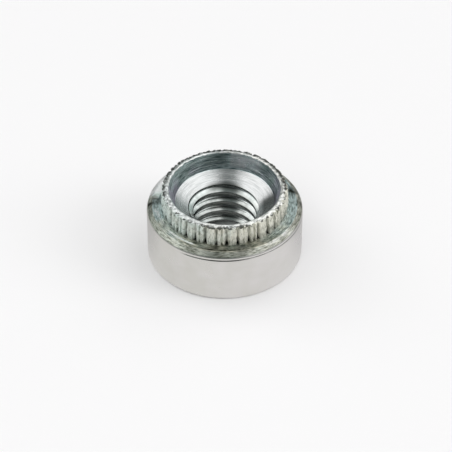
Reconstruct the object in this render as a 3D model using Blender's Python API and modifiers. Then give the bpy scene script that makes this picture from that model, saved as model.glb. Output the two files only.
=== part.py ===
# Rivet nut: a turned, knurled and tapped steel bush, made in one piece.
# Metres, +Z up. The flange base rests on Z = 0 and the thread axis is the Z axis.

import math

import bmesh
import bpy
from mathutils import Vector

# Flange
FLANGE_DIAMETER = 0.0127
FLANGE_HEIGHT = 0.0047
SHOULDER_WIDTH = 0.0007
EDGE_BEVEL_WIDTH = 0.00048
EDGE_BEVEL_DROP = 0.00036
EDGE_ROUNDING = 0.00022
BASE_EDGE_RADIUS = 0.00025

# Knurled spigot above the shoulder
SPIGOT_RISE = 0.0018
RIM_LAND_WIDTH = 0.00034
RIM_BEVEL_WIDTH = 0.00027
RIM_BEVEL_DROP = 0.00026
KNURL_COUNT = 36
KNURL_PHASE = math.radians(2.2)
GROOVE_DEPTH_AT_SHOULDER = 0.00042
GROOVE_DEPTH_AT_RIM = 0.00018
GROOVE_WIDTH = 0.00042
LINE_DEPTH_AT_SHOULDER = 0.00006
LINE_DEPTH_AT_RIM = 0.00014
LINE_WIDTH = 0.00016

# Bore, cut down from the rim
COUNTERBORE_DEPTH = 0.0014
COUNTERBORE_DRAFT = math.radians(20.0)
SINK_ANGLE = math.radians(110.0)
BORE_DIAMETER = 0.00515
BASE_SINK_DIAMETER = 0.0066
BASE_SINK_ANGLE = math.radians(90.0)

# Facets round the axis, and in each rounded edge
TURNED_STEPS = 144
ROUNDING_STEPS = 3

# How far a tool or a hidden root reaches past the face it crosses
OVERRUN = 0.0004

# How far a corner may stand off a face that still counts as flat
FLATNESS = 0.000000001

# Bright zinc plating over turned steel
PLATING_COLOUR = (0.70, 0.72, 0.72, 1.0)
PLATING_ROUGHNESS = 0.28
SHARP_EDGE_ANGLE = math.radians(28.0)

FLANGE_RADIUS = FLANGE_DIAMETER / 2
SHOULDER_EDGE_RADIUS = FLANGE_RADIUS - EDGE_BEVEL_WIDTH
CREST_RADIUS = SHOULDER_EDGE_RADIUS - SHOULDER_WIDTH
LAND_EDGE_RADIUS = CREST_RADIUS - RIM_BEVEL_WIDTH
MOUTH_RADIUS = LAND_EDGE_RADIUS - RIM_LAND_WIDTH
RIM_HEIGHT = FLANGE_HEIGHT + SPIGOT_RISE

# The flange's facets are turned by half of one from the bore's, so that no two edges coincide
HALF_FACET = math.pi / TURNED_STEPS


def clear_scene():
    for item in list(bpy.data.objects):
        bpy.data.objects.remove(item, do_unlink=True)


def new_collection(name):
    collection = bpy.data.collections.new(name)
    bpy.context.scene.collection.children.link(collection)
    return collection


def new_object(name, mesh, collection):
    item = bpy.data.objects.new(name, mesh)
    collection.objects.link(item)
    return item


def rounded_corner(before, corner, after, radius):
    """Points of the arc that replaces a corner of a profile."""
    way_in = (before - corner).normalized()
    way_out = (after - corner).normalized()
    half_angle = way_in.angle(way_out) / 2
    reach = radius / math.tan(half_angle)
    centre = corner + (way_in + way_out).normalized() * radius / math.sin(half_angle)
    start = corner + way_in * reach - centre
    end = corner + way_out * reach - centre
    turn = start.angle_signed(end)
    points = []
    for step in range(ROUNDING_STEPS + 1):
        angle = turn * step / ROUNDING_STEPS
        spoke = Vector((start.x * math.cos(angle) + start.y * math.sin(angle),
                        start.y * math.cos(angle) - start.x * math.sin(angle)))
        points.append(centre + spoke)
    return points


def turned_solid(name, profile, phase, collection):
    """Turn a profile, given as (radius, height) from the axis down its outer side to the axis."""
    shape = bmesh.new()
    points = [shape.verts.new((radius, 0.0, height)) for radius, height in profile]
    for start, end in zip(points, points[1:]):
        shape.edges.new((start, end))
    mesh = bpy.data.meshes.new(name)
    shape.to_mesh(mesh)
    shape.free()
    item = new_object(name, mesh, collection)
    item.rotation_euler.z = phase
    screw = item.modifiers.new("turning", 'SCREW')
    screw.axis = 'Z'
    screw.angle = math.tau
    screw.steps = TURNED_STEPS
    screw.render_steps = TURNED_STEPS
    screw.use_merge_vertices = True
    screw.merge_threshold = 0.000001
    screw.use_smooth_shade = True
    return item


def make_flange(collection):
    """Flange blank: flat base, plain wall, bevelled upper edge and flat shoulder."""
    shoulder_edge = Vector((SHOULDER_EDGE_RADIUS, FLANGE_HEIGHT))
    wall_top = Vector((FLANGE_RADIUS, FLANGE_HEIGHT - EDGE_BEVEL_DROP))
    wall_foot = Vector((FLANGE_RADIUS, 0.0))
    top_centre = Vector((0.0, FLANGE_HEIGHT))
    base_centre = Vector((0.0, 0.0))
    profile = [top_centre, shoulder_edge]
    profile += rounded_corner(shoulder_edge, wall_top, wall_foot, EDGE_ROUNDING)
    profile += rounded_corner(wall_top, wall_foot, base_centre, BASE_EDGE_RADIUS)
    profile.append(base_centre)
    return turned_solid("rivet_nut", profile, KNURL_PHASE + HALF_FACET, collection)


def knurl_outline(groove_depth, line_depth):
    """(angle, radius) round the knurl: deep V grooves, with a fine line down each rib between."""
    groove_half = GROOVE_WIDTH / 2 / CREST_RADIUS
    line_half = LINE_WIDTH / 2 / CREST_RADIUS
    pitch = math.tau / KNURL_COUNT
    outline = []
    for tooth in range(KNURL_COUNT):
        root = KNURL_PHASE + tooth * pitch
        line = root + pitch / 2
        outline.append((root, CREST_RADIUS - groove_depth))
        outline.append((root + groove_half, CREST_RADIUS))
        outline.append((line - line_half, CREST_RADIUS))
        outline.append((line, CREST_RADIUS - line_depth))
        outline.append((line + line_half, CREST_RADIUS))
        outline.append((root + pitch - groove_half, CREST_RADIUS))
    return outline


def depth_at(height, depth_at_shoulder, depth_at_rim):
    """Depth of a groove that changes evenly from the shoulder up to the rim."""
    share = (height - FLANGE_HEIGHT) / SPIGOT_RISE
    return depth_at_shoulder + (depth_at_rim - depth_at_shoulder) * share


def knurl_ring(height):
    """Points of the knurled outline at one height."""
    groove = depth_at(height, GROOVE_DEPTH_AT_SHOULDER, GROOVE_DEPTH_AT_RIM)
    line = depth_at(height, LINE_DEPTH_AT_SHOULDER, LINE_DEPTH_AT_RIM)
    return [Vector((radius * math.cos(angle), radius * math.sin(angle), height))
            for angle, radius in knurl_outline(groove, line)]


def is_flat(face):
    """Whether the corners of a face lie in one plane."""
    return all(abs((corner.co - face.verts[0].co).dot(face.normal)) < FLATNESS for corner in face.verts)


def loft(name, rings, collection):
    """Closed solid through rings of as many points each, lowest ring first."""
    shape = bmesh.new()
    levels = [[shape.verts.new(point) for point in ring] for ring in rings]
    count = len(rings[0])
    for lower, upper in zip(levels, levels[1:]):
        for here in range(count):
            ahead = (here + 1) % count
            shape.faces.new((lower[here], lower[ahead], upper[ahead], upper[here]))
    shape.normal_update()
    crooked = [face for face in shape.faces if not is_flat(face)]
    crooked.append(shape.faces.new(list(reversed(levels[0]))))
    crooked.append(shape.faces.new(levels[-1]))
    bmesh.ops.triangulate(shape, faces=crooked)
    mesh = bpy.data.meshes.new(name)
    shape.to_mesh(mesh)
    shape.free()
    return new_object(name, mesh, collection)


def make_spigot(collection):
    """Knurled spigot, rooted inside the flange, with a bevelled rim."""
    land_edge = [Vector((LAND_EDGE_RADIUS * math.cos(angle), LAND_EDGE_RADIUS * math.sin(angle), RIM_HEIGHT))
                 for angle, radius in knurl_outline(0.0, 0.0)]
    rings = [knurl_ring(FLANGE_HEIGHT - OVERRUN), knurl_ring(RIM_HEIGHT - RIM_BEVEL_DROP), land_edge]
    return loft("knurled_spigot", rings, collection)


def make_bore_tool(collection):
    """Everything that is bored out, as one turned plug: counterbore, countersink, bore, base sink."""
    bore_radius = BORE_DIAMETER / 2
    taper = math.tan(COUNTERBORE_DRAFT)
    foot = Vector((MOUTH_RADIUS - COUNTERBORE_DEPTH * taper, RIM_HEIGHT - COUNTERBORE_DEPTH))
    above = Vector((MOUTH_RADIUS + OVERRUN * taper, RIM_HEIGHT + OVERRUN))
    sink_foot = Vector((bore_radius, foot.y - (foot.x - bore_radius) / math.tan(SINK_ANGLE / 2)))
    base_slope = math.tan(BASE_SINK_ANGLE / 2)
    base_top = Vector((bore_radius, (BASE_SINK_DIAMETER / 2 - bore_radius) / base_slope))
    below = Vector((BASE_SINK_DIAMETER / 2 + OVERRUN * base_slope, -OVERRUN))
    profile = [(0.0, above.y), above, foot, sink_foot, base_top, below, (0.0, below.y)]
    return turned_solid("bore_tool", profile, KNURL_PHASE, collection)


def boolean(item, operand, operation):
    """Join or cut an object with an operand that stays hidden."""
    modifier = item.modifiers.new(operand.name, 'BOOLEAN')
    modifier.operation = operation
    modifier.solver = 'EXACT'
    modifier.object = operand
    operand.display_type = 'WIRE'
    operand.hide_render = True


def plated_steel():
    material = bpy.data.materials.new("bright_zinc_plated_steel")
    material.use_nodes = True
    shader = material.node_tree.nodes["Principled BSDF"]
    shader.inputs["Base Color"].default_value = PLATING_COLOUR
    shader.inputs["Metallic"].default_value = 1.0
    shader.inputs["Roughness"].default_value = PLATING_ROUGHNESS
    material.diffuse_color = PLATING_COLOUR
    return material


def finish(item, material):
    """Keep the finished mesh in place of the modifiers, and shade it with crisp machined edges."""
    bpy.context.view_layer.update()
    evaluated = item.evaluated_get(bpy.context.evaluated_depsgraph_get())
    mesh = bpy.data.meshes.new_from_object(evaluated)
    mesh.transform(item.matrix_world)
    item.modifiers.clear()
    item.rotation_euler.z = 0.0
    item.data = mesh
    mesh.shade_smooth()
    mesh.set_sharp_from_angle(angle=SHARP_EDGE_ANGLE)
    mesh.materials.clear()
    mesh.materials.append(material)


def main():
    clear_scene()
    parts = new_collection("rivet_nut")
    tools = new_collection("cutters")
    nut = make_flange(parts)
    boolean(nut, make_spigot(tools), 'UNION')
    boolean(nut, make_bore_tool(tools), 'DIFFERENCE')
    finish(nut, plated_steel())


main()
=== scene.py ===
import math
import random

import bpy
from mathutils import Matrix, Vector, noise


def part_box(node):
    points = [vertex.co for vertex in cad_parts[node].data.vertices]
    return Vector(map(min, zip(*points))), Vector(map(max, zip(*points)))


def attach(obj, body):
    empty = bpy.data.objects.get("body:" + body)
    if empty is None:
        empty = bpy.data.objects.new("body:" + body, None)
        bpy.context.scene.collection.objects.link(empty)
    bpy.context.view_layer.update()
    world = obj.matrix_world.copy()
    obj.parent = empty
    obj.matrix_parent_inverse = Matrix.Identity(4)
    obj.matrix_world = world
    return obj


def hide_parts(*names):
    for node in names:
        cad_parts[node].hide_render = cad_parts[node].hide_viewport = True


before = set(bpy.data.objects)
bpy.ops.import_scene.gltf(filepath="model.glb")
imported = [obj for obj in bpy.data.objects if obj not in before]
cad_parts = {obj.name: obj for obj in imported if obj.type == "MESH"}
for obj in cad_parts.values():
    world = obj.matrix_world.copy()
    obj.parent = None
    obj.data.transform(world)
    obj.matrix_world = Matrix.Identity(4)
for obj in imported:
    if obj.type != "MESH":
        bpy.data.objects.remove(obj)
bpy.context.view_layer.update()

mm = 0.001
random.seed(11)

# The turned body. Lengths in millimetres, the same section as the solid it stands for.
body = {
    "segments": 648,          # round the axis, a whole number to each knurl pitch
    "shoulderHeight": 4.70,
    "shoulderEdgeRadius": 5.87,
    "wallTop": 4.38,
    "edgeRounding": 0.14,
    "wallRounding": 0.28,     # where the bevel turns down into the wall
    "baseRounding": 0.25,
    "edgeLineDrop": 0.19,     # fine turned line just under that rounding
    "edgeLineDepth": 0.07,
    "edgeLineWidth": 0.13,
    "edgeLineRoundings": (0.02, 0.015, 0.03),  # at its top, its root and its foot
    "edgeLineFades": (-4.6, -2.0),             # where it fades in, coming from the left
    "landRadius": 4.99,       # outer edge of the rim's land
    "landFall": 0.12,         # how far that edge lies below the mouth
    "mouthRadius": 4.56,
    "lipRounding": 0.12,
    "bevelDrop": 0.26,
    "crestRadius": 5.17,
    "cornerStep": 0.03,       # first ring out from the spigot's foot
    "counterboreFoot": (4.05, 5.10),
    "footRounding": 0.10,     # at that foot
    "sinkSlope": 35.0,        # degrees above level, of the countersink under the counterbore
    "drillRadius": 2.40,      # hole before tapping
    "baseSinkRadius": 3.30,
    "baseSinkRounding": 0.06,
    "sharpAngle": 32.0,       # degrees, over which an edge is shaded sharp
}

# The knurl, pressed into the spigot. Depths in millimetres, noise scales per millimetre.
knurl = {
    "count": 36,
    "phase": math.radians(2.2),
    "depthAtShoulder": 0.32,
    "depthAtRim": 0.17,
    "halfWidth": 0.19,        # of a deep groove, as a share of the pitch
    "section": 0.85,          # power of its section, a plain V at 1
    "slip": 0.04,             # spread of its place, as a share of the pitch
    "lineDepthAtShoulder": 0.09,
    "lineDepthAtRim": 0.11,
    "lineHalfWidth": 0.10,
    "lineSpread": (0.3, 2.2), # of the fine line's depth from rib to rib
    "lineSlip": 0.10,
    "crown": 0.03,            # how far a rib's flanks fall away from its middle
    "draft": 0.07,            # how far the ribs lean in towards the rim
    "draftSpan": (0.25, 0.86),
    "unevenness": 0.22,       # spread of the depth and the width from groove to groove
    "tear": 0.095,            # depth of the streaks that the knurling wheel tore along the ribs
    "tearMean": 0.35,
    "tearSpread": 0.8,
    "streakScale": 7.0,
    "streakStretch": 0.35,
    "chatterScale": 4.5,
}

# The rim, dented by the knurling. Lengths in millimetres, noise scales per millimetre.
rim = {
    "reach": 0.40,            # how far below the rim the dents go
    "inside": 0.15,           # and how far in past the mouth
    "full": 0.05,             # depth below the rim at which they are full
    "scales": (1.1, 3.2, 9.0),      # of waves, dents and grit
    "push": (0.005, 0.010, 0.004),  # outwards by each, as shares of the radius
    "lift": (0.045, 0.025),   # upwards by dents and grit
    "sink": 0.05,             # keeps the highest of them under the solid's height
    "pulledIn": 0.016,        # share of the radius, at the back on the right
    "pulledAcross": (2.5, 5.0),
    "pulledBack": (-1.0, 2.0),
}

# The tap that cuts the thread. Lengths in millimetres.
thread = {
    "pitch": 1.0,
    "boreRadius": 2.585,
    "rootRadius": 3.00,
    "flankAngle": 30.0,
    "grooveHeight": 0.16,     # height of a groove's middle on the far wall, above a whole pitch
    "rootRounding": 0.25,
    "crestEase": 0.035,       # how far the flanks are rounded over into the crest
    "turns": 10,
    "startBelow": 3,          # pitches
    "stepsPerTurn": 144,
    "span": (-0.5, 4.97),     # heights between which the tap cuts
}

nodeLow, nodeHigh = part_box("rivet_nut")
outerRadius = min(nodeHigh.x - nodeLow.x, nodeHigh.y - nodeLow.y) / 2 / mm
rimHeight = nodeHigh.z / mm


def cornerArc(before, corner, after, radius, steps):
    wayIn = (before - corner).normalized()
    wayOut = (after - corner).normalized()
    half = wayIn.angle(wayOut) / 2
    centre = corner + (wayIn + wayOut).normalized() * radius / math.sin(half)
    start = corner + wayIn * radius / math.tan(half) - centre
    end = corner + wayOut * radius / math.tan(half) - centre
    turn = start.angle(end)
    points = []
    for step in range(steps + 1):
        share = step / steps
        spoke = (start * math.sin((1 - share) * turn) + end * math.sin(share * turn)) / math.sin(turn)
        points.append(centre + spoke)
    return points


def straight(start, end, steps):       # points between two ends, without the ends
    return [start.lerp(end, step / steps) for step in range(1, steps)]


def bodyProfile():                     # (radius, height) from the mouth, down the outside, up the bore
    mouth = Vector((body["mouthRadius"], rimHeight))
    land = Vector((body["landRadius"], rimHeight - body["landFall"]))
    bevelFoot = Vector((body["crestRadius"], rimHeight - body["bevelDrop"]))
    spigotFoot = Vector((body["crestRadius"], body["shoulderHeight"]))
    shoulderEdge = Vector((body["shoulderEdgeRadius"], body["shoulderHeight"]))
    wallTop = Vector((outerRadius, body["wallTop"]))
    wallFoot = Vector((outerRadius, 0.0))
    sinkEdge = Vector((body["baseSinkRadius"], 0.0))
    foot = Vector(body["counterboreFoot"])
    drill = body["drillRadius"]
    boreFoot = Vector((drill, body["baseSinkRadius"] - drill))
    boreTop = Vector((drill, foot.y - (foot.x - drill) * math.tan(math.radians(body["sinkSlope"]))))
    lineTop = wallTop - Vector((0.0, body["edgeLineDrop"]))
    lineMiddle = lineTop + Vector((-body["edgeLineDepth"], -body["edgeLineWidth"] / 2))
    lineFoot = lineTop - Vector((0.0, body["edgeLineWidth"]))
    topRounding, rootRounding, footRounding = body["edgeLineRoundings"]

    lip = cornerArc(foot, mouth, land, body["lipRounding"], 5)
    landEdge = cornerArc(mouth, land, bevelFoot, body["lipRounding"], 5)
    points = list(lip)
    points += straight(lip[-1], landEdge[0], 4)
    points += landEdge
    points += straight(points[-1], bevelFoot, 5)
    points.append(bevelFoot)
    points += straight(bevelFoot, spigotFoot, 12)
    points.append(spigotFoot)
    points.append(spigotFoot + Vector((body["cornerStep"], 0.0)))
    points += straight(spigotFoot, shoulderEdge, 8)
    points += cornerArc(spigotFoot, shoulderEdge, wallTop, body["edgeRounding"], 5)
    points += straight(points[-1], wallTop.lerp(shoulderEdge, 0.2), 3)
    points += cornerArc(shoulderEdge, wallTop, wallFoot, body["wallRounding"], 6)
    points += cornerArc(wallTop, lineTop, lineMiddle, topRounding, 2)
    points += cornerArc(lineTop, lineMiddle, lineFoot, rootRounding, 2)
    points += cornerArc(lineMiddle, lineFoot, wallFoot, footRounding, 3)
    points += straight(points[-1], wallFoot, 4)
    points += cornerArc(wallTop, wallFoot, sinkEdge, body["baseRounding"], 6)
    points += straight(points[-1], sinkEdge, 3)
    points += cornerArc(wallFoot, sinkEdge, boreFoot, body["baseSinkRounding"], 3)
    points.append(boreFoot)
    points.append(boreTop)
    points += straight(boreTop, foot, 4)
    points += cornerArc(boreTop, foot, mouth, body["footRounding"], 4)
    points += straight(points[-1], mouth, 4)
    points.append(lip[0])
    return [point * mm for point in points]


def startFresh():
    if bpy.context.object and bpy.context.object.mode != 'OBJECT':
        bpy.ops.object.mode_set(mode='OBJECT')
    bpy.ops.object.select_all(action='DESELECT')


def turnBody(name, profile, segments):          # a ring, extruded along the section and closed on itself
    startFresh()
    bpy.ops.mesh.primitive_circle_add(vertices=segments, radius=profile[0].x, location=(0, 0, profile[0].y))
    bpy.ops.object.transform_apply(location=True, rotation=False, scale=False)
    turned = bpy.context.object
    turned.name = name
    bpy.ops.object.mode_set(mode='EDIT')
    bpy.ops.mesh.select_all(action='SELECT')
    for here, there in zip(profile, profile[1:]):
        bpy.ops.mesh.extrude_region_move(TRANSFORM_OT_translate={"value": (0, 0, there.y - here.y)})
        grow = there.x / here.x
        bpy.ops.transform.resize(value=(grow, grow, 1.0), center_override=(0, 0, there.y))
    bpy.ops.mesh.select_all(action='SELECT')
    bpy.ops.mesh.remove_doubles(threshold=0.001 * mm)
    bpy.ops.mesh.normals_make_consistent(inside=False)
    bpy.ops.object.mode_set(mode='OBJECT')
    return turned


def smoothStep(low, high, value):
    share = min(1.0, max(0.0, (value - low) / (high - low)))
    return share * share * (3 - 2 * share)


def between(value, start, end, soft):           # 1 inside a span, easing out over the soft length at each end
    return smoothStep(start - soft, start, value) * (1 - smoothStep(end, end + soft, value))


def riseOf(place):                              # 0 at the shoulder, 1 at the rim
    return (place.z - body["shoulderHeight"]) / (rimHeight - body["shoulderHeight"])


teeth = [{"depth": 1 + random.uniform(-1, 1) * knurl["unevenness"],
          "width": 1 + random.uniform(-1, 1) * knurl["unevenness"],
          "slip": random.uniform(-knurl["slip"], knurl["slip"]),
          "line": random.uniform(*knurl["lineSpread"]),
          "lineSlip": random.uniform(-knurl["lineSlip"], knurl["lineSlip"])} for tooth in range(knurl["count"])]


def pressedDepth(place):                        # how deep the knurling is at a place on the spigot's wall
    count = knurl["count"]
    turnShare = ((math.atan2(place.y, place.x) - knurl["phase"]) / math.tau * count) % count
    tooth = teeth[int(turnShare + 0.5) % count]
    along = turnShare - int(turnShare + 0.5) - tooth["slip"]
    rise = riseOf(place)
    groove = knurl["depthAtShoulder"] + (knurl["depthAtRim"] - knurl["depthAtShoulder"]) * rise
    inside = max(0.0, 1 - abs(along) / (knurl["halfWidth"] * tooth["width"]))
    depth = groove * tooth["depth"] * inside ** knurl["section"]
    rib = teeth[int(turnShare) % count]
    beside = abs(turnShare - int(turnShare) - 0.5 - rib["lineSlip"])
    line = knurl["lineDepthAtShoulder"] + (knurl["lineDepthAtRim"] - knurl["lineDepthAtShoulder"]) * rise
    depth += line * rib["line"] * max(0.0, 1 - beside / knurl["lineHalfWidth"])
    depth += knurl["crown"] * min(1.0, beside * 2) ** 2 + knurl["draft"] * smoothStep(*knurl["draftSpan"], rise)
    stretched = Vector((place.x, place.y, place.z * knurl["streakStretch"]))
    streak = noise.noise(stretched * knurl["streakScale"])
    chatter = noise.noise(place * knurl["chatterScale"])
    torn = knurl["tearMean"] + knurl["tearSpread"] * streak + knurl["tearSpread"] * chatter
    return depth + knurl["tear"] * torn


def rollKnurl(turned):                          # presses the grooves into the spigot's wall
    low = body["shoulderHeight"] - 0.001
    inner = body["landRadius"] - body["lipRounding"]
    outer = body["crestRadius"] + 0.001
    for vertex in turned.data.vertices:
        place = vertex.co / mm
        radius = math.hypot(place.x, place.y)
        if place.z < low or radius < inner or radius > outer:
            continue
        pressed = min(radius, body["crestRadius"] - max(0.0, pressedDepth(place)))
        vertex.co.x *= pressed / radius
        vertex.co.y *= pressed / radius


def roughenLip(turned):                         # dents and burrs left on the rim by the knurling
    low = rimHeight - rim["reach"]
    waveScale, dentScale, gritScale = rim["scales"]
    wavePush, dentPush, gritPush = rim["push"]
    dentLift, gritLift = rim["lift"]
    for vertex in turned.data.vertices:
        place = vertex.co / mm
        radius = math.hypot(place.x, place.y)
        if place.z < low or radius < body["mouthRadius"] - rim["inside"]:
            continue
        share = smoothStep(low, rimHeight - rim["full"], place.z)
        around = place * (body["crestRadius"] / radius)
        wave = noise.noise(Vector((around.x, around.y, 3.0)) * waveScale)
        dent = noise.noise(Vector((around.x, around.y, radius * 1.5)) * dentScale)
        grit = noise.noise(place * gritScale)
        outward = 1 + share * (wavePush * wave + dentPush * dent + gritPush * grit)
        backward = smoothStep(*rim["pulledBack"], place.y)
        outward -= rim["pulledIn"] * share * smoothStep(*rim["pulledAcross"], place.x) * backward
        vertex.co.x *= outward
        vertex.co.y *= outward
        vertex.co.z += share * (dentLift * dent + gritLift * grit - rim["sink"]) * mm


# Marks in the metal, and where shade and highlights are painted: their middle in degrees anticlockwise from the
# right, and how far they reach to each side of it. The last one also has the share of that reach at full
# strength.
marks = {
    "liftedEdge": (150, 28),                    # of the shoulder, at the back on the left
    "shoulderHighlight": (150, 27),
    "bevelHighlight": (150, 29),
    "scratch": (231, 21),                       # on the shoulder, in front on the left
    "streak": (197, 18),
    "brightBevel": (317, 24),
    "darkBevel": (318, 11),
    "rimRight": (34, 34),
    "rimLeft": (168, 26),
    "farWallHighlight": (66, 24),                    # in the counterbore
    "farWallDark": (97, 24),
    "wedgeEnd": (-4, 22),                       # on the countersink
    "wedgeLeft": (214, 50),
    "wedge": (-34, 54, 0.74),
}
scratch = {"height": 0.020, "radius": 5.53, "width": 0.06}
liftedEdge = {"height": 0.070, "span": (5.25, 5.85)}


def sector(place, middle, half, core=0.5):      # 1 within an angle of a place on the clock, easing out to 0
    away = abs((math.degrees(math.atan2(place.y, place.x)) - middle + 180) % 360 - 180)
    return 1 - smoothStep(half * core, half, away)


def burnishShoulder(turned):                    # a raised scratch in front on the left, a lifted edge behind it
    for vertex in turned.data.vertices:
        place = vertex.co / mm
        radius = math.hypot(place.x, place.y)
        onTop = body["wallTop"] <= place.z <= body["shoulderHeight"] + 0.01
        if not onTop or radius < body["crestRadius"] + 0.1:
            continue
        ridge = math.exp(-((radius - scratch["radius"]) / scratch["width"]) ** 2)
        raised = scratch["height"] * sector(place, *marks["scratch"]) * ridge
        slope = smoothStep(*liftedEdge["span"], radius)
        lifted = liftedEdge["height"] * sector(place, *marks["liftedEdge"]) * slope
        vertex.co.z += (raised + lifted) * mm


def fadeEdgeLine(turned):                       # the fine line under the bevel runs out towards the left
    lineTop = body["wallTop"] - body["edgeLineDrop"]
    lineFoot = lineTop - body["edgeLineWidth"]
    for vertex in turned.data.vertices:
        place = vertex.co / mm
        radius = math.hypot(place.x, place.y)
        if radius < body["shoulderEdgeRadius"] or not lineFoot - 0.03 < place.z < lineTop + 0.03:
            continue
        full = radius + (outerRadius - radius) * (1 - smoothStep(*body["edgeLineFades"], place.x))
        vertex.co.x *= full / radius
        vertex.co.y *= full / radius


def threadTap():                                # a threaded plug: half a groove's outline, mirrored, swept up
    pitch = thread["pitch"]
    root = thread["rootRadius"]
    bore = thread["boreRadius"]
    ease = thread["crestEase"]
    rounding = thread["rootRounding"]
    half = []
    for angle in range(0, 61, 12):              # the rounded root, in degrees
        turn = math.radians(angle)
        half.append((root - rounding + rounding * math.cos(turn), rounding * math.sin(turn)))
    flankEnd = half[-1][1] + (half[-1][0] - bore - ease) * math.tan(math.radians(thread["flankAngle"]))
    half.append((bore + ease, flankEnd))
    half += [(bore + ease * 0.45, flankEnd + ease * 0.45), (bore + ease * 0.12, flankEnd + ease * 1.05)]
    half += [(bore, flankEnd + ease * 2.0), (bore, pitch / 2)]
    outline = half + [(radius, pitch - height) for radius, height in reversed(half[:-1])]
    startFresh()
    bpy.ops.mesh.primitive_circle_add(vertices=len(outline), radius=mm)
    tap = bpy.context.object
    start = thread["grooveHeight"] - thread["startBelow"] * pitch
    for vertex, (radius, height) in zip(tap.data.vertices, outline):
        vertex.co = Vector((radius, 0.0, height + start)) * mm
    bpy.ops.object.mode_set(mode='EDIT')
    bpy.ops.mesh.select_all(action='DESELECT')
    bpy.ops.object.mode_set(mode='OBJECT')
    for edge in tap.data.edges:                 # the closing edge, from the last point back to the first
        edge.select = set(edge.vertices) == {0, len(outline) - 1}
    bpy.ops.object.mode_set(mode='EDIT')
    bpy.ops.mesh.select_mode(type='EDGE')
    bpy.ops.mesh.delete(type='EDGE')
    bpy.ops.object.mode_set(mode='OBJECT')
    screw = tap.modifiers.new("helix", 'SCREW')
    screw.axis = 'Z'
    screw.angle = math.tau
    screw.screw_offset = pitch * mm
    screw.iterations = thread["turns"]
    screw.steps = thread["stepsPerTurn"]
    screw.render_steps = thread["stepsPerTurn"]
    bpy.ops.object.modifier_apply(modifier="helix")
    bpy.ops.object.mode_set(mode='EDIT')
    bpy.ops.mesh.select_mode(type='VERT')
    bpy.ops.mesh.select_all(action='SELECT')
    bpy.ops.mesh.remove_doubles(threshold=0.002 * mm)
    for height, below in zip(thread["span"], (True, False)):
        bpy.ops.mesh.select_all(action='SELECT')
        bpy.ops.mesh.bisect(plane_co=(0, 0, height * mm), plane_no=(0, 0, 1), use_fill=True,
                            clear_inner=below, clear_outer=not below, threshold=0.0005 * mm)
    bpy.ops.mesh.select_all(action='SELECT')
    bpy.ops.mesh.normals_make_consistent(inside=False)
    bpy.ops.object.mode_set(mode='OBJECT')
    tap.rotation_euler.z = math.radians(90.0)
    bpy.ops.object.transform_apply(location=False, rotation=True, scale=False)
    return tap


def cutThread(turned):
    tap = threadTap()
    startFresh()
    turned.select_set(True)
    bpy.context.view_layer.objects.active = turned
    cut = turned.modifiers.new("thread", 'BOOLEAN')
    cut.operation = 'DIFFERENCE'
    cut.solver = 'EXACT'
    cut.object = tap
    bpy.ops.object.modifier_apply(modifier="thread")
    bpy.data.objects.remove(tap, do_unlink=True)


def linear(hexColour):                          # sRGB hex to linear RGBA
    parts = [int(hexColour[place:place + 2], 16) / 255 for place in (1, 3, 5)]
    curved = [part / 12.92 if part <= 0.04045 else ((part + 0.055) / 1.055) ** 2.4 for part in parts]
    return tuple(curved) + (1.0,)


def addNode(tree, kind, values=None, links=None, **settings):
    node = tree.nodes.new(kind)
    for name, value in settings.items():
        setattr(node, name, value)
    for name, value in (values or {}).items():
        node.inputs[name].default_value = value
    for name, source in (links or {}).items():
        tree.links.new(source, node.inputs[name])
    return node


def calculate(tree, operation, *values):
    node = addNode(tree, "ShaderNodeMath", operation=operation)
    for value, socket in zip(values, node.inputs):
        if isinstance(value, (int, float)):
            socket.default_value = value
        else:
            tree.links.new(value, socket)
    return node.outputs["Value"]


def ease(tree, value, span, start=0.0, end=1.0):  # from start to end across a span, softly at both
    ends = {"From Min": span[0], "From Max": span[1], "To Min": start, "To Max": end}
    return addNode(tree, "ShaderNodeMapRange", ends, {"Value": value},
                   interpolation_type='SMOOTHSTEP').outputs["Result"]


# Bright zinc plating on turned free-cutting steel: a satin metal with faint teal, olive and mauve tints
# of a clear passivate, fine turning lines, painted shade in the recesses and painted highlights. Lengths in
# millimetres.
plating = {
    "grainSize": 0.06,
    "turningStep": 0.045,
    "cloud": 1.1,
    "contrast": 0.12,         # half the range of noise over which one tone turns into the other
    "tintPatch": 1.6,
    "tintRange": (0.3, 0.7),
    "girth": 5.0,             # radius at which the streaks' length round the axis is measured
    # colours of painted shade and of painted highlights
    "paintedShading": "#23261E",
    "paintedHighlight": "#FFFFFF",
}

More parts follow.
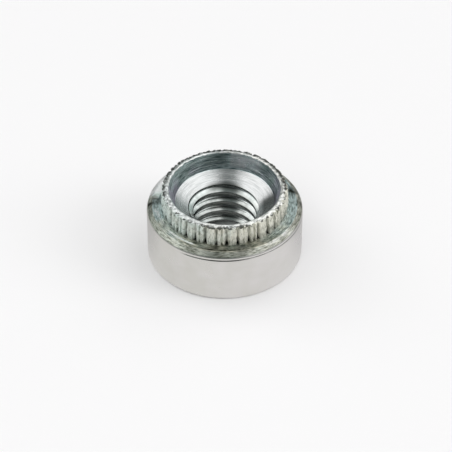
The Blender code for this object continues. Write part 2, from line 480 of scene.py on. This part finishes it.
# Each zone has the direction of its section (outward, upward), two tones, the length of their streaks
# round the axis and their width along the section, the share of the darker, how cloudy it is, two tints,
# how these drift (to the right, to the back, and from the start), the share of bare metal, the roughness
# and its unevenness, and the depth of turning lines and of grain.
common = {"cloudy": 0.2, "drift": (0.06, 0.0, 0.0), "metal": 1.0, "uneven": 0.08, "turning": 0.0}
zones = {
    "wall": {**common, "run": (0.0, 1.0), "light": "#DFDEDD", "dark": "#DCDBD9",
             "arc": 1.8, "band": 1.2, "share": 0.5, "tints": ("#F1F1ED", "#F9F8F7"),
             "rough": 0.28, "uneven": 0.02, "turning": 0.001, "grain": 0.0006},
    "shoulder": {**common, "run": (1.0, 0.0), "light": "#F8F9F8", "dark": "#87918D",
                 "arc": 0.40, "band": 0.10, "share": 0.46, "cloudy": 0.30,
                 "tints": ("#F1EEDD", "#DFEEEE"), "drift": (0.0, 0.12, 0.37), "metal": 0.94,
                 "rough": 0.44, "turning": 0.018, "grain": 0.0110},
    "bevel": {**common, "run": (0.8, -0.6), "light": "#DDDED6", "dark": "#7A7D72",
              "arc": 0.36, "band": 0.07, "share": 0.50, "cloudy": 0.25,
              "tints": ("#EEF3EE", "#FDFDF8"), "metal": 0.92,
              "rough": 0.38, "turning": 0.014, "grain": 0.0090},
    "knurl": {**common, "run": (0.0, 1.0), "light": "#FFFFFE", "dark": "#6C725E",
              "arc": 0.065, "band": 0.34, "share": 0.24, "cloudy": 0.15,
              "tints": ("#E7F2EE", "#F7F6EB"), "drift": (0.09, 0.0, 0.18), "metal": 0.66,
              "rough": 0.57, "grain": 0.0160},
    "lip": {**common, "run": (1.0, 0.0), "light": "#FEFEFC", "dark": "#BEC1BD",
            "arc": 0.30, "band": 0.12, "share": 0.35, "tints": ("#F4F8F8", "#F9F9F6"), "metal": 0.85,
            "rough": 0.32, "grain": 0.0090},
    "counterbore": {**common, "run": (0.34, 0.94), "light": "#FCFDFD", "dark": "#6A7C7C",
                    "arc": 1.3, "band": 0.075, "share": 0.45, "cloudy": 0.25,
                    "tints": ("#E0D6E8", "#DDEDEA"), "drift": (0.0, 0.16, -0.22),
                    "rough": 0.29, "turning": 0.016, "grain": 0.0040},
    "countersink": {**common, "run": (0.82, 0.57), "light": "#DFE0DF", "dark": "#C9CBCA",
                    "arc": 2.0, "band": 0.09, "share": 0.4, "cloudy": 0.3,
                    "tints": ("#FAFCFC", "#FCFCFC"),
                    "rough": 0.21, "turning": 0.010, "grain": 0.0010},
    "thread": {**common, "run": (0.0, 1.0), "light": "#EEF0EE", "dark": "#D8DBD9",
               "arc": 0.8, "band": 0.6, "share": 0.4, "tints": ("#F4FAF8", "#F8FAF8"),
               "rough": 0.19, "grain": 0.0008},
}


def zincPlating(name, zone):                    # zinc plated steel, one finish to each zone
    material = bpy.data.materials.new("zincPlated" + name.capitalize())
    material.use_nodes = True
    tree = material.node_tree
    shader = tree.nodes["Principled BSDF"]
    shader.inputs["Metallic"].default_value = zone["metal"]
    place = addNode(tree, "ShaderNodeTexCoord").outputs["Object"]
    across = addNode(tree, "ShaderNodeSeparateXYZ", links={"Vector": place}).outputs
    flat = addNode(tree, "ShaderNodeCombineXYZ", links={"X": across["X"], "Y": across["Y"]}).outputs["Vector"]
    spoke = addNode(tree, "ShaderNodeVectorMath", links={"Vector": flat}, operation='LENGTH')
    radius = spoke.outputs["Value"]
    around = addNode(tree, "ShaderNodeVectorMath", links={"Vector": flat}, operation='NORMALIZE')
    outward, upward = zone["run"]
    along = calculate(tree, 'ADD', calculate(tree, 'MULTIPLY', radius, outward / mm),
                      calculate(tree, 'MULTIPLY', across["Z"], upward / mm))
    turn = addNode(tree, "ShaderNodeSeparateXYZ", links={"Vector": around.outputs["Vector"]}).outputs
    unrolled = addNode(tree, "ShaderNodeCombineXYZ", links={
        "X": calculate(tree, 'MULTIPLY', turn["X"], plating["girth"] / zone["arc"]),
        "Y": calculate(tree, 'MULTIPLY', turn["Y"], plating["girth"] / zone["arc"]),
        "Z": calculate(tree, 'MULTIPLY', along, 1 / zone["band"])}).outputs["Vector"]
    streaks = addNode(tree, "ShaderNodeTexNoise", {"Scale": 1.0, "Detail": 3.0, "Roughness": 0.6},
                      {"Vector": unrolled}).outputs["Fac"]
    clouds = addNode(tree, "ShaderNodeTexNoise", {"Scale": 1 / (plating["cloud"] * mm), "Detail": 2.0},
                     {"Vector": place}).outputs["Fac"]
    mottled = calculate(tree, 'ADD', streaks, calculate(tree, 'MULTIPLY', clouds, zone["cloudy"]))
    middle = 0.75 - zone["share"] / 2 + zone["cloudy"] / 2
    tones = {"From Min": middle - plating["contrast"], "From Max": middle + plating["contrast"]}
    darker = addNode(tree, "ShaderNodeMapRange", tones, {"Value": mottled}).outputs["Result"]
    colour = addNode(tree, "ShaderNodeMix", links={"Factor": darker}, data_type='RGBA')
    colour.inputs["A"].default_value = linear(zone["light"])
    colour.inputs["B"].default_value = linear(zone["dark"])

    hue = addNode(tree, "ShaderNodeTexNoise", {"Scale": 1 / (plating["tintPatch"] * mm), "Detail": 1.0},
                  {"Vector": place}).outputs["Fac"]
    sideways, backward, offset = zone["drift"]
    drift = calculate(tree, 'ADD', calculate(tree, 'MULTIPLY_ADD', across["X"], sideways / mm, offset),
                      calculate(tree, 'MULTIPLY', across["Y"], backward / mm))
    least, most = plating["tintRange"]
    side = addNode(tree, "ShaderNodeMapRange", {"From Min": least, "From Max": most},
                   {"Value": calculate(tree, 'ADD', hue, drift)}).outputs["Result"]
    tint = addNode(tree, "ShaderNodeMix", links={"Factor": side}, data_type='RGBA')
    tint.inputs["A"].default_value = linear(zone["tints"][0])
    tint.inputs["B"].default_value = linear(zone["tints"][1])
    tinted = addNode(tree, "ShaderNodeMix", {"Factor": 1.0}, data_type='RGBA', blend_type='MULTIPLY')
    tree.links.new(colour.outputs["Result"], tinted.inputs["A"])
    tree.links.new(tint.outputs["Result"], tinted.inputs["B"])
    # painted shade pulls the colour towards dark, painted highlights (negative values) towards white
    paintedShading = addNode(tree, "ShaderNodeAttribute", attribute_name="paintedShading").outputs["Fac"]
    shaded = addNode(tree, "ShaderNodeMix", links={"Factor": paintedShading}, data_type='RGBA')
    highlightShare = calculate(tree, 'MULTIPLY', paintedShading, -1.0)
    paintedHighlight = addNode(tree, "ShaderNodeMix", links={"Factor": highlightShare}, data_type='RGBA')
    tree.links.new(tinted.outputs["Result"], paintedHighlight.inputs["A"])
    paintedHighlight.inputs["B"].default_value = linear(plating["paintedHighlight"])
    tree.links.new(paintedHighlight.outputs["Result"], shaded.inputs["A"])
    shaded.inputs["B"].default_value = linear(plating["paintedShading"])
    tree.links.new(shaded.outputs["Result"], shader.inputs["Base Color"])

    gloss = {"To Min": zone["rough"] - zone["uneven"], "To Max": zone["rough"] + zone["uneven"]}
    sheen = addNode(tree, "ShaderNodeMapRange", gloss, {"Value": streaks}).outputs["Result"]
    tree.links.new(sheen, shader.inputs["Roughness"])
    lines = addNode(tree, "ShaderNodeTexNoise", {"Scale": 1 / plating["turningStep"], "Detail": 2.0},
                    {"W": along}, noise_dimensions='1D').outputs["Fac"]
    grain = addNode(tree, "ShaderNodeTexNoise", {"Scale": 1 / (plating["grainSize"] * mm), "Detail": 3.0},
                    {"Vector": place}).outputs["Fac"]
    turned = addNode(tree, "ShaderNodeBump", {"Distance": zone["turning"] * mm}, {"Height": lines})
    crystals = addNode(tree, "ShaderNodeBump", {"Distance": zone["grain"] * mm},
                       {"Height": grain, "Normal": turned.outputs["Normal"]})
    tree.links.new(crystals.outputs["Normal"], shader.inputs["Normal"])
    return material


zoneEdges = {                                   # how far each zone reaches past its corners, in mm
    "lipDown": 0.16,
    "lipIn": 0.08,
    "footDown": 0.05,
    "above": 0.01,
    "flat": 0.02,
    "skirtIn": 0.6,
}


def zoneOf(place, radius):
    foot = body["counterboreFoot"]
    sink = foot[1] - (foot[0] - radius) * math.tan(math.radians(body["sinkSlope"]))
    flat = zoneEdges["flat"]
    if place.z > rimHeight - zoneEdges["lipDown"] and radius > body["mouthRadius"] - zoneEdges["lipIn"]:
        return "lip"
    if radius < body["mouthRadius"] and place.z > foot[1] - zoneEdges["footDown"]:
        return "counterbore"
    if place.z > body["shoulderHeight"] + zoneEdges["above"] and radius > body["mouthRadius"]:
        return "knurl"
    if radius > body["crestRadius"] - zoneEdges["skirtIn"]:
        if place.z > body["shoulderHeight"] - flat:
            return "shoulder"
        return "bevel" if place.z > body["wallTop"] + flat else "wall"
    if abs(place.z - sink) < flat and radius > thread["boreRadius"]:
        return "countersink"
    return "thread" if radius < thread["rootRadius"] + flat and place.z > zoneEdges["above"] else "wall"


# Painted shade and painted highlights. Radii and places in mm, rises as shares of the spigot's height, noise
# scales per mm.
# A break is the mean and the spread with which noise breaks a mark up.
shadingMarks = {
    "patchCloud": (1.2, 2.2),                  # strength and scale
    "ring": (5.70, 5.80, 0.06),                 # painted shade: dark line round the shoulder
    "ringShade": (0.15, 0.75),                  # all round, and more in front
    "ringFront": (5.2, 5.5),
    "ringBreak": (0.8, 0.6),
    # painted highlights on the shoulder
    "highlightFrom": (5.25, 5.45),
    "highlightBreak": (0.85, 0.5),
    "scratch": (5.53, 5.64, 0.05),
    "scratchBreak": (0.55, 0.6),
    "streak": (5.45, 5.75, 0.12),
    "streakBright": 0.45,
    "streakBreak": (0.6, 1.8),
    # painted shade and painted highlights on the bevel
    "bevelLine": (6.10, 6.14, 0.04),
    "bevelLineRight": (0.5, 2.5),
    "bevelLineBreak": (0.35, 0.9),
    "bevelBright": 0.36,
    "bevelBreak": (0.8, 1.4),
    "bevelDark": 0.85,
    "bevelDarkFrom": (6.14, 6.22),
    "bevelDarkBreak": (0.8, 0.8),
    "edgeLineRight": (-3.0, 0.5),
    "edgeLineBreak": (0.9, 0.6),
    "edgeLineDeep": (0.005, 0.035),
    "footRise": 0.05,                           # up to which the ribs' feet reach
    "footShade": (0.20, 0.80),                  # painted shade on the ribs, and more in the grooves
    "footDeep": (0.09, 0.22),
    "darkerRibs": 0.26,                               # darker on the ribs at the right
    "darkerRibsRight": (0.5, 2.5),
    "darkerRibsRise": (0.25, 0.70),
    "darkerRibsScale": 2.0,
    "darkerRibsBreak": (0.6, 1.4),
    "grooveDeep": (0.14, 0.29),
    "grooveShade": (0.45, 0.55),                # painted shade all the way up, and more at the foot
    "grooveFoot": (0.06, 0.30),
    "rimRise": 0.84,                            # over which the painted shade under the rim begins
    "rimFar": (-1.5, 2.0),
    "pits": ((0.6, 1.9), (0.8, 4.6), (0.4, 9.0)),  # strength and scale of each layer
    "pitsFar": 0.6,
    "pitsFront": 0.28,
    "pitsFrontSpan": (1.0, 2.4),
    "pitsLess": 0.06,
    "pitRange": (0.02, 0.18),
    "pitDark": 0.9,
    "pitBand": (0.85, 0.88, 0.925, 0.95),
    "rimLeftDark": 0.5,
    "behindDark": 0.45,
    "behindFrom": (3.5, 4.6),
    "behindRise": (0.94, 0.97),
    "dashDark": 0.9,
    "dashScale": 3.1,
    "dashRange": (-0.25, 0.0),
    "dashFrom": (4.70, 4.77),
    "crestDark": 0.6,                           # painted shade on the thread's crests
    "crestSpan": (0.01, 0.06),                  # out from its crests
    "rootDark": 0.72,
    "rootFar": (0.80, 0.97),
    "rootSpan": (2.66, 2.84),
    "farWallHighlight": 0.75,
    "farWallBreak": (0.8, 0.8),
    "farWallDark": 0.36,
    # painted shade in wedges on the countersink, in front
    "wedge": 0.48,
    "wedgeEnd": 0.29,
    "wedgeLeft": 0.32,
}
shadePatches = [                                     # patches of painted shade on shoulder and bevel: x, y, spread, strength
    (-5.70, 0.75, 0.80, 0.75), (-6.15, 0.10, 0.50, 0.90), (-6.15, -0.90, 0.40, 0.65),
    (-4.95, -2.60, 0.50, 0.30), (5.45, 1.70, 0.60, 0.75), (6.05, 0.30, 0.50, 0.50),
    (5.85, -1.10, 0.40, 0.35), (-2.40, -5.00, 0.60, 0.45), (1.20, -5.45, 1.00, 0.55),
    (-0.60, -5.55, 1.00, 0.55), (3.10, -4.80, 0.60, 0.40),
]


# painted shade in patches
def shadePatchAt(place):
    dark = 0.0
    cloudy, scale = shadingMarks["patchCloud"]
    cloud = 1 + cloudy * noise.noise(place * scale)
    for x, y, spread, strength in shadePatches:
        away = ((place.x - x) ** 2 + (place.y - y) ** 2) / spread ** 2
        dark = max(dark, strength * math.exp(-away) * cloud)
    return dark


def brokenBy(name, broken):
    mean, spread = shadingMarks[name]
    return mean + spread * broken


def shoulderShading(place, radius, broken):
    # painted shade: a dark line round the shoulder, darker in front
    allRound, inFront = shadingMarks["ringShade"]
    shade = allRound + inFront * smoothStep(*shadingMarks["ringFront"], -place.y)
    ring = between(radius, *shadingMarks["ring"]) * shade * brokenBy("ringBreak", broken)
    # painted highlights: at the back on the left, along the raised scratch, and in a streak in front on the
    # left
    paintedHighlight = sector(place, *marks["shoulderHighlight"]) * smoothStep(*shadingMarks["highlightFrom"], radius)
    paintedHighlight *= brokenBy("highlightBreak", broken)
    line = sector(place, *marks["scratch"]) * between(radius, *shadingMarks["scratch"])
    line *= brokenBy("scratchBreak", broken)
    streak = shadingMarks["streakBright"] * sector(place, *marks["streak"]) * between(radius, *shadingMarks["streak"])
    streak *= brokenBy("streakBreak", broken)
    paintedHighlight = max(paintedHighlight, line, streak)
    return min(1.0, max(ring, shadePatchAt(place))) * (1 - paintedHighlight) - paintedHighlight


def bevelShading(place, radius, broken):
    # painted shade: a dark line at the right and an edge in front on the right; painted highlights at the back
    # on the left and in front on the right
    line = between(radius, *shadingMarks["bevelLine"]) * smoothStep(*shadingMarks["bevelLineRight"], place.x)
    line *= max(0.0, brokenBy("bevelLineBreak", broken))
    paintedHighlight = sector(place, *marks["bevelHighlight"]) * brokenBy("highlightBreak", broken)
    bright = shadingMarks["bevelBright"] * sector(place, *marks["brightBevel"]) * brokenBy("bevelBreak", broken)
    paintedHighlight = max(paintedHighlight, bright)
    edge = shadingMarks["bevelDark"] * sector(place, *marks["darkBevel"])
    edge *= smoothStep(*shadingMarks["bevelDarkFrom"], radius) * brokenBy("bevelDarkBreak", broken)
    return min(1.0, max(line, edge, shadePatchAt(place))) * (1 - paintedHighlight) - paintedHighlight


def edgeLineShade(place, radius, broken):        # painted shade in the fine line under the bevel, towards the right
    lineMiddle = body["wallTop"] - body["edgeLineDrop"] - body["edgeLineWidth"] / 2
    if abs(place.z - lineMiddle) > body["edgeLineWidth"] / 2:
        return 0.0
    strength = smoothStep(*shadingMarks["edgeLineRight"], place.x) * brokenBy("edgeLineBreak", broken)
    return min(1.0, max(0.0, strength)) * smoothStep(*shadingMarks["edgeLineDeep"], outerRadius - radius)


def rimShade(place, radius, rise):               # painted shade under the rim, broken up like pits, at its back, in dashes at its right and at its left
    far = smoothStep(*shadingMarks["rimFar"], place.y)
    pit = sum(strength * noise.noise(place * scale) for strength, scale in shadingMarks["pits"])
    front = 1 - smoothStep(*shadingMarks["pitsFrontSpan"], abs(place.x))
    pit += shadingMarks["pitsFar"] * far + shadingMarks["pitsFront"] * front - shadingMarks["pitsLess"]
    start, full, falling, end = shadingMarks["pitBand"]
    band = max(far, smoothStep(start, full, rise)) * (1 - smoothStep(falling, end, rise))
    shadeBehind = smoothStep(*shadingMarks["behindFrom"], place.y) * smoothStep(*shadingMarks["behindRise"], rise)
    dashes = smoothStep(*shadingMarks["dashRange"], noise.noise(place * shadingMarks["dashScale"]))
    dashes *= smoothStep(*shadingMarks["dashFrom"], radius) * sector(place, *marks["rimRight"])
    pitShade = shadingMarks["pitDark"] * smoothStep(*shadingMarks["pitRange"], pit) * band
    left = shadingMarks["rimLeftDark"] * sector(place, *marks["rimLeft"]) * band
    return max(shadingMarks["behindDark"] * shadeBehind, shadingMarks["dashDark"] * dashes, pitShade, left)


def spigotShading(place, radius, rise):
    # painted shade at the ribs' feet and down the grooves
    if rise < shadingMarks["footRise"]:
        least, more = shadingMarks["footShade"]
        return least + more * smoothStep(*shadingMarks["footDeep"], pressedDepth(place))
    if rise > shadingMarks["rimRise"]:
        return rimShade(place, radius, rise)
    darkerRibs = shadingMarks["darkerRibs"] * smoothStep(*shadingMarks["darkerRibsRight"], place.x) * (1 - smoothStep(*shadingMarks["darkerRibsRise"], rise))
    darkerRibs *= max(0.0, brokenBy("darkerRibsBreak", noise.noise(place * shadingMarks["darkerRibsScale"])))
    least, more = shadingMarks["grooveShade"]
    shade = least + more * (1 - smoothStep(*shadingMarks["grooveFoot"], rise))
    groove = smoothStep(*shadingMarks["grooveDeep"], body["crestRadius"] - radius) * shade
    return min(1.0, max(darkerRibs, groove))


def threadShade(place, radius):
    # painted shade on the crests, and in the roots on the far side
    near, clear = shadingMarks["crestSpan"]
    crest = 1 - smoothStep(thread["boreRadius"] + near, thread["boreRadius"] + clear, radius)
    far = smoothStep(*shadingMarks["rootFar"], place.y / radius)
    return max(shadingMarks["crestDark"] * crest, shadingMarks["rootDark"] * far * smoothStep(*shadingMarks["rootSpan"], radius))


def counterboreShading(place, broken):             # its far wall: a painted highlight at the right, painted shade in the middle
    paintedHighlight = shadingMarks["farWallHighlight"] * sector(place, *marks["farWallHighlight"])
    paintedHighlight *= max(0.0, brokenBy("farWallBreak", broken))
    return shadingMarks["farWallDark"] * sector(place, *marks["farWallDark"]) * (1 - paintedHighlight) - paintedHighlight


def paintedShadingAt(place, radius):                      # 0 plain, 1 dark with painted shade, -1 bright with painted highlight
    broken = noise.noise(Vector((place.x, place.y, 0.0)) * 1.3) + 0.5 * noise.noise(place * 5.0)
    rise = riseOf(place)
    foot = body["counterboreFoot"]
    if radius > body["crestRadius"] + 0.05 and place.z > body["shoulderHeight"] - 0.01:
        return shoulderShading(place, radius, broken)
    if radius > body["crestRadius"] and place.z > body["wallTop"] + 0.05 and rise <= 0:
        return bevelShading(place, radius, broken)
    if radius > body["crestRadius"] and rise < -0.05:
        return edgeLineShade(place, radius, broken)
    if radius > body["mouthRadius"] + 0.1 and rise > -0.01:
        return spigotShading(place, radius, rise)
    if radius < thread["rootRadius"] + 0.02 and place.z < 4.4:
        return threadShade(place, radius)
    if radius < body["mouthRadius"] - 0.05 and place.z > foot[1] + 0.05:
        return counterboreShading(place, broken)
    if radius < foot[0] + 0.02 and place.z > 4.0:
        # painted shade in wedges on the countersink
        wedge = shadingMarks["wedge"] * sector(place, *marks["wedge"])
        wedge += shadingMarks["wedgeEnd"] * sector(place, *marks["wedgeEnd"])
        return max(wedge, shadingMarks["wedgeLeft"] * sector(place, *marks["wedgeLeft"]))
    return 0.0


def finishBody(turned):
    startFresh()
    turned.select_set(True)
    bpy.context.view_layer.objects.active = turned
    bpy.ops.object.shade_smooth_by_angle(angle=math.radians(body["sharpAngle"]))
    names = list(zones)
    for name, zone in zones.items():
        turned.data.materials.append(zincPlating(name, zone))
    for face in turned.data.polygons:
        centre = face.center / mm
        face.material_index = names.index(zoneOf(centre, math.hypot(centre.x, centre.y)))
    # painted shade and painted highlights, one value to each vertex
    paintedShading = turned.data.attributes.new("paintedShading", 'FLOAT', 'POINT')
    for vertex, value in zip(turned.data.vertices, paintedShading.data):
        place = vertex.co / mm
        value.value = paintedShadingAt(place, math.hypot(place.x, place.y))
    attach(turned, "root")
    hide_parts("rivet_nut")


nutBody = turnBody("rivetNutBody", bodyProfile(), body["segments"])
print("body turned:", len(nutBody.data.polygons), "faces")
rollKnurl(nutBody)
roughenLip(nutBody)
burnishShoulder(nutBody)
fadeEdgeLine(nutBody)
print("knurl rolled")
cutThread(nutBody)
print("thread cut:", sum(len(face.vertices) - 2 for face in nutBody.data.polygons), "triangles")
finishBody(nutBody)
print("finish laid on:", len(zones), "zones")

# The view. Degrees above level, millimetres.
view = {
    "elevation": 40.9,
    "distance": 160.2,
    "aim": (0.105, -0.442, 2.694),
    "lens": 156.1,
}

# The studio. Spans are sines of the angle to the right, behind or above level, unless a note says more.
studio = {
    "floorSize": 2.0,         # m
    "floorColour": "#F7F6F6",
    "floorSeen": 0.85,        # share of plain paper white that the metal mirrors, clear of the nut's base
    "floorClear": (-0.2, 0.1),     # where that begins, in mm from the base's edge
    "floorShadeBehind": 0.68,      # painted shadow: how bright that paper is behind the nut, past this span in mm
    "behindSpan": (-4.0, 2.0),
    "floorLift": 0.30,        # how much of that share the camera sees too
    "fillDistance": 1.0,      # m
    "fills": {                # azimuth, elevation, size in m, power in W: light the paper, not mirrored
        "rightFill": (78.0, 27.0, 0.50, 2.80),
        "leftFill": (-116.0, 27.0, 0.50, 1.00),
        "frontFill": (-25.0, 38.0, 0.50, 2.00),
    },
    "room": (0.13, 0.155, 0.152, 1.0),
    "boxLight": (1.26, 1.26, 1.27, 1.0),
    "backdrop": (0.93, 0.93, 0.94, 1.0),
    "rightBox": (0.14, 0.26), # over which the right softbox starts
    "leftBox": (0.26, 0.40),
    "boxFoot": (0.30, 0.44),  # the same above level, and behind, where both end
    "rightBack": (0.78, 0.90),
    "leftBack": (0.62, 0.78),
    "rightFront": (-0.86, -0.62),  # and low in front, where it is dim again
    "leftFront": (-0.50, -0.34),
    "gapLight": 0.07,         # share of a softbox's light in the gap between the two
    "gapEnd": (-0.16, 0.10),  # how far back that gap reaches, to a softbox overhead
    "overhead": (0.56, 0.68), # where that one ends
    "overheadLight": 0.80,    # and its share of the light
    "lensSide": (0.88, 0.95), # cosine of the angle from the lens within which the dark camera shows
    "lensLight": 0.25,
}


def towards(azimuth, elevation):                # a direction; azimuth 0 faces the camera, positive to its right
    side = math.radians(azimuth)
    up = math.radians(elevation)
    return Vector((math.cos(up) * math.sin(side), -math.cos(up) * math.cos(side), math.sin(up)))


def placeCamera():
    aim = Vector(view["aim"]) * mm
    back = towards(0.0, view["elevation"])
    data = bpy.data.cameras.new("camera")
    data.lens = view["lens"]
    data.clip_start = 0.01
    camera = bpy.data.objects.new("camera", data)
    bpy.context.collection.objects.link(camera)
    camera.location = aim + back * view["distance"] * mm
    camera.rotation_euler = back.to_track_quat('Z', 'Y').to_euler()
    bpy.context.scene.camera = camera


def lightStudio():
    for name, (azimuth, elevation, size, power) in studio["fills"].items():
        direction = towards(azimuth, elevation)
        data = bpy.data.lights.new(name, 'AREA')
        data.shape = 'SQUARE'
        data.size = size
        data.energy = power
        lamp = bpy.data.objects.new(name, data)
        bpy.context.collection.objects.link(lamp)
        lamp.location = direction * studio["fillDistance"]
        lamp.rotation_euler = direction.to_track_quat('Z', 'Y').to_euler()
        lamp.visible_glossy = False
        lamp.visible_camera = False


def makeFloor():                                # white paper, mirrored by the metal as plain white with a painted shadow behind the nut
    startFresh()
    bpy.ops.mesh.primitive_plane_add(size=studio["floorSize"])
    floor = bpy.context.object
    floor.name = "floor"
    material = bpy.data.materials.new("paperFloor")
    material.use_nodes = True
    shader = material.node_tree.nodes["Principled BSDF"]
    shader.inputs["Base Color"].default_value = linear(studio["floorColour"])
    shader.inputs["Roughness"].default_value = 0.9
    shader.inputs["Specular IOR Level"].default_value = 0.1
    tree = material.node_tree
    rays = addNode(tree, "ShaderNodeLightPath")
    place = addNode(tree, "ShaderNodeTexCoord").outputs["Object"]
    reach = addNode(tree, "ShaderNodeVectorMath", links={"Vector": place}, operation='LENGTH')
    baseEdge = [(outerRadius + edge) * mm for edge in studio["floorClear"]]
    clear = ease(tree, reach.outputs["Value"], baseEdge, 0.0, studio["floorSeen"])
    looking = calculate(tree, 'MULTIPLY_ADD', rays.outputs["Is Camera Ray"], studio["floorLift"],
                        rays.outputs["Is Glossy Ray"])
    seen = calculate(tree, 'MULTIPLY', looking, clear)
    # painted shadow on the paper behind the nut, seen only in the metal
    depth = addNode(tree, "ShaderNodeSeparateXYZ", links={"Vector": place}).outputs["Y"]
    shadeBehind = ease(tree, depth, [edge * mm for edge in studio["behindSpan"]], 1.0, studio["floorShadeBehind"])
    bright = calculate(tree, 'MAXIMUM', shadeBehind, rays.outputs["Is Camera Ray"])
    paper = addNode(tree, "ShaderNodeEmission", {"Color": linear(studio["floorColour"])},
                    {"Strength": bright})
    mixed = addNode(tree, "ShaderNodeMixShader", links={"Fac": seen})
    tree.links.new(shader.outputs["BSDF"], mixed.inputs[1])
    tree.links.new(paper.outputs["Emission"], mixed.inputs[2])
    tree.links.new(mixed.outputs["Shader"], tree.nodes["Material Output"].inputs["Surface"])
    floor.data.materials.append(material)


def makeWorld():                                # a dim room, a softbox each side of the camera and one above
    world = bpy.data.worlds.new("studio")
    bpy.context.scene.world = world
    world.use_nodes = True
    tree = world.node_tree
    way = addNode(tree, "ShaderNodeTexCoord").outputs["Generated"]
    parts = addNode(tree, "ShaderNodeSeparateXYZ", links={"Vector": way}).outputs
    leftward = calculate(tree, 'MULTIPLY', parts["X"], -1.0)
    right = calculate(tree, 'MULTIPLY', ease(tree, parts["X"], studio["rightBox"], studio["gapLight"]),
                      calculate(tree, 'MULTIPLY', ease(tree, parts["Y"], studio["rightBack"], 1.0, 0.0),
                                ease(tree, parts["Y"], studio["rightFront"])))
    left = calculate(tree, 'MULTIPLY', ease(tree, leftward, studio["leftBox"], studio["gapLight"]),
                     calculate(tree, 'MULTIPLY', ease(tree, parts["Y"], studio["leftBack"], 1.0, 0.0),
                               ease(tree, parts["Y"], studio["leftFront"])))
    above = calculate(tree, 'MULTIPLY', ease(tree, parts["Y"], studio["gapEnd"]),
                      ease(tree, parts["Y"], studio["overhead"], studio["overheadLight"], 0.0))
    boxes = calculate(tree, 'MAXIMUM', calculate(tree, 'MAXIMUM', right, left), above)
    lit = calculate(tree, 'MULTIPLY', boxes, ease(tree, parts["Z"], studio["boxFoot"]))
    room = addNode(tree, "ShaderNodeMix", links={"Factor": lit}, data_type='RGBA')
    room.inputs["A"].default_value = studio["room"]
    room.inputs["B"].default_value = studio["boxLight"]
    rays = addNode(tree, "ShaderNodeLightPath").outputs
    seen = addNode(tree, "ShaderNodeMix", links={"Factor": rays["Is Camera Ray"]}, data_type='RGBA')
    facing = addNode(tree, "ShaderNodeVectorMath", {1: towards(0.0, view["elevation"])}, {0: way},
                     operation='DOT_PRODUCT').outputs["Value"]
    lensSide = ease(tree, facing, studio["lensSide"], 1.0, studio["lensLight"])
    dimmed = addNode(tree, "ShaderNodeVectorMath", links={0: room.outputs["Result"]}, operation='SCALE')
    tree.links.new(lensSide, dimmed.inputs["Scale"])
    tree.links.new(dimmed.outputs["Vector"], seen.inputs["A"])
    seen.inputs["B"].default_value = studio["backdrop"]
    tree.links.new(seen.outputs["Result"], tree.nodes["Background"].inputs["Color"])


placeCamera()
lightStudio()
makeFloor()
makeWorld()
bpy.context.scene.view_settings.view_transform = 'Standard'
print("studio set")
